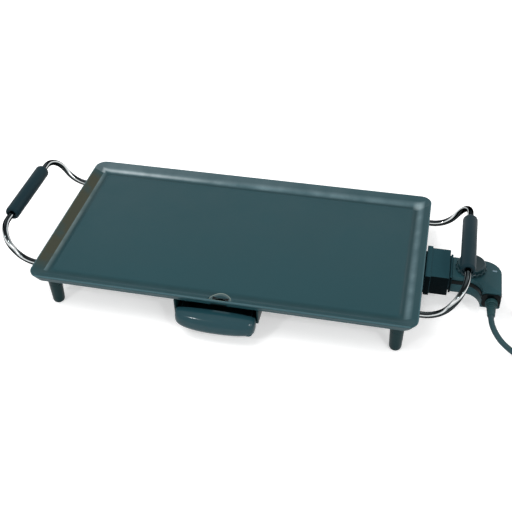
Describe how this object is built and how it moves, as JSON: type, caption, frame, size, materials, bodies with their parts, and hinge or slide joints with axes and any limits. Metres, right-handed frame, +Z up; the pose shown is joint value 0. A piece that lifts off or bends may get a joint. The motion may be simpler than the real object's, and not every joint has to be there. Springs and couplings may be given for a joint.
{
  "type": "electric griddle",
  "caption": "Rectangular tabletop griddle with a rimmed plate, two bail handles, a pull-out grease tray and a plug-in thermostat control with its mains cord.",
  "frame": {"origin": "under the middle of the plate, on the plane that the feet's soles stand on", "axes": "+X along the plate towards the control, -Y towards the front with the grease tray, +Z up"},
  "size_m": [0.751, 0.2669, 0.095],
  "materials": {
    "nonstick": "satin non-stick coat, dark teal-grey",
    "element_sheath": "heat-tinted steel sheath",
    "nickel_pins": "nickel-plated",
    "zinc_steel": "zinc-plated sheet",
    "screw_steel": "zinc-plated",
    "black_phenolic": "matt heat-resistant moulding",
    "contact_brass": "plain brass",
    "chrome_rod": "bright chrome",
    "grip_black": "matt black-green moulding",
    "tray_black": "glossy moulding",
    "probe_steel": "stainless tube",
    "control_black": "semi-gloss moulding",
    "switch_ceramic": "cream ceramic",
    "bimetal": "bimetal strip",
    "dial_black": "satin moulding",
    "lens_blue": "smoked pale blue lens",
    "lamp_glass": "clear neon lamp",
    "relief_black": "soft PVC",
    "cord_black": "PVC jacket",
    "tie_black": "soft strap",
    "plug_black": "satin moulding"
  },
  "bodies": {
    "base": {"griddle_plate": "nonstick", "heating_element": "element_sheath", "terminal_pins": "nickel_pins", "element_straps": "zinc_steel", "strap_screws": "screw_steel", "socket_bracket": "zinc_steel", "socket_housing": "black_phenolic", "socket_screws": "screw_steel", "earth_blade": "contact_brass", "foot_front_left": "black_phenolic", "foot_front_right": "black_phenolic", "foot_back_left": "black_phenolic", "foot_back_right": "black_phenolic", "foot_screws": "screw_steel", "left_handle_rod": "chrome_rod", "right_handle_rod": "chrome_rod", "left_grip": "grip_black", "right_grip": "grip_black", "handle_clamps": "zinc_steel", "clamp_screws": "screw_steel", "left_tray_rail": "black_phenolic", "right_tray_rail": "black_phenolic", "rail_screws": "screw_steel"},
    "tray": {"drip_tray": "tray_black"},
    "control": {"connector_block": "black_phenolic", "contact_sleeves": "contact_brass", "temperature_probe": "probe_steel", "control_lower_shell": "control_black", "control_upper_shell": "control_black", "shell_screws": "screw_steel", "switch_block": "switch_ceramic", "bimetal_blade": "bimetal", "pilot_lens": "lens_blue", "pilot_lamp": "lamp_glass", "cord_clamp": "black_phenolic", "strain_relief": "relief_black", "supply_cord": "cord_black", "cord_coil": "cord_black", "cord_tie": "tie_black", "cord_tail": "cord_black", "plug_body": "plug_black", "plug_pins": "nickel_pins"},
    "dial": {"dial_shaft": "screw_steel", "dial_knob": "dial_black", "dial_cap": "dial_black"}
  },
  "joints": [
    {"name": "tray_slide", "type": "slide", "parent": "base", "child": "tray", "axis": [0, -1, 0], "range_m": [0, 0.067]},
    {"name": "control_plug_in", "type": "slide", "parent": "base", "child": "control", "axis": [1, 0, 0], "range_m": [0, 0.11]},
    {"name": "dial_turn", "type": "hinge", "parent": "control", "child": "dial", "pos_m": [0.2901, 0, 0.052], "axis": [0, 0, -1], "range_deg": [0, 270]}
  ]
}
